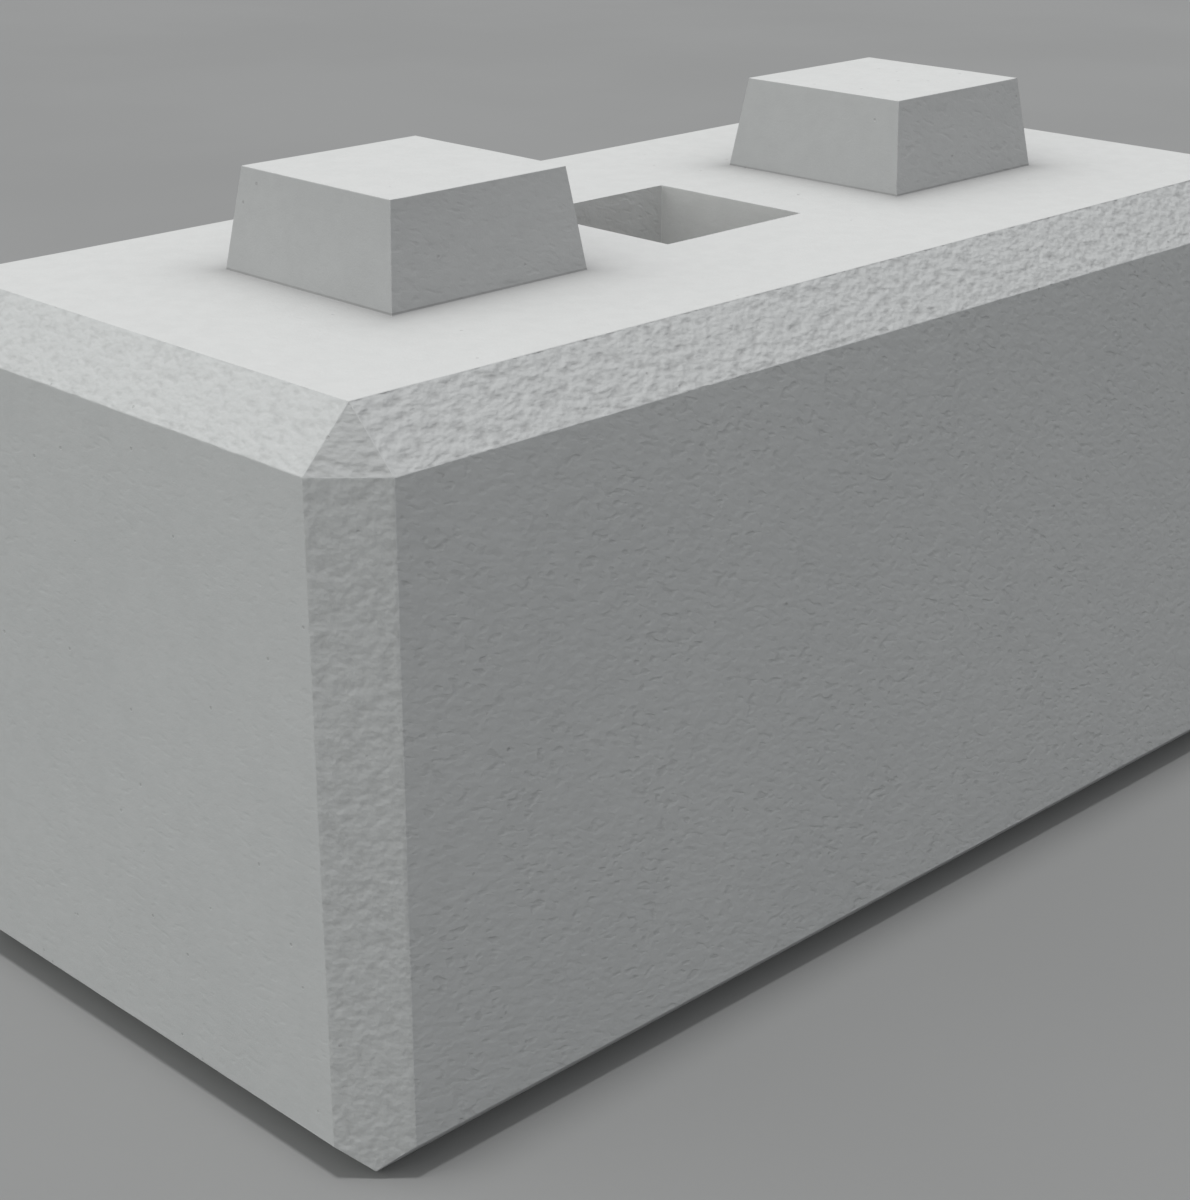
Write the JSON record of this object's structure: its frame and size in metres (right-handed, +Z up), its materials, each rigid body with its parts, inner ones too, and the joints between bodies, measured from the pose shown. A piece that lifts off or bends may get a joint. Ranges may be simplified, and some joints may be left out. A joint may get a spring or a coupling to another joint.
{
  "type": "interlocking concrete block",
  "caption": "Rectangular stackable concrete block with bevelled edges, tapered studs on top, matching sockets below and a lifting loop in a square pocket.",
  "frame": {"origin": "centre of the underside", "axes": "+X along the block's length, +Y across it, +Z up towards the studs"},
  "size_m": [1.6, 0.76, 0.907],
  "materials": {
    "concrete": "matte, pitted cast concrete, rough on the bevels",
    "loop_steel": "plain round bar, lightly rusted",
    "bar_steel": "mill scale with light rust",
    "link_steel": "mill scale with light rust",
    "mortar": "matte mortar"
  },
  "bodies": {
    "root": {"concrete_block": "concrete", "lifting_loop": "loop_steel", "loop_anchor_bar_1": "bar_steel", "loop_anchor_bar_2": "bar_steel", "top_corner_bar_1": "bar_steel", "top_corner_bar_2": "bar_steel", "side_bar_1": "bar_steel", "side_bar_2": "bar_steel", "inner_bar_1": "bar_steel", "inner_bar_2": "bar_steel", "bottom_corner_bar_1": "bar_steel", "bottom_corner_bar_2": "bar_steel", "link_1": "link_steel", "link_2": "link_steel", "link_3": "link_steel", "link_4": "link_steel", "link_5": "link_steel", "link_6": "link_steel", "cross_bar_1": "bar_steel", "cross_bar_2": "bar_steel", "cross_bar_3": "bar_steel", "cross_bar_4": "bar_steel", "stud_hairpin_1": "link_steel", "stud_hairpin_2": "link_steel", "stud_hairpin_3": "link_steel", "stud_hairpin_4": "link_steel", "cover_spacer_1": "mortar", "cover_spacer_2": "mortar", "cover_spacer_3": "mortar", "cover_spacer_4": "mortar"}
  },
  "joints": []
}
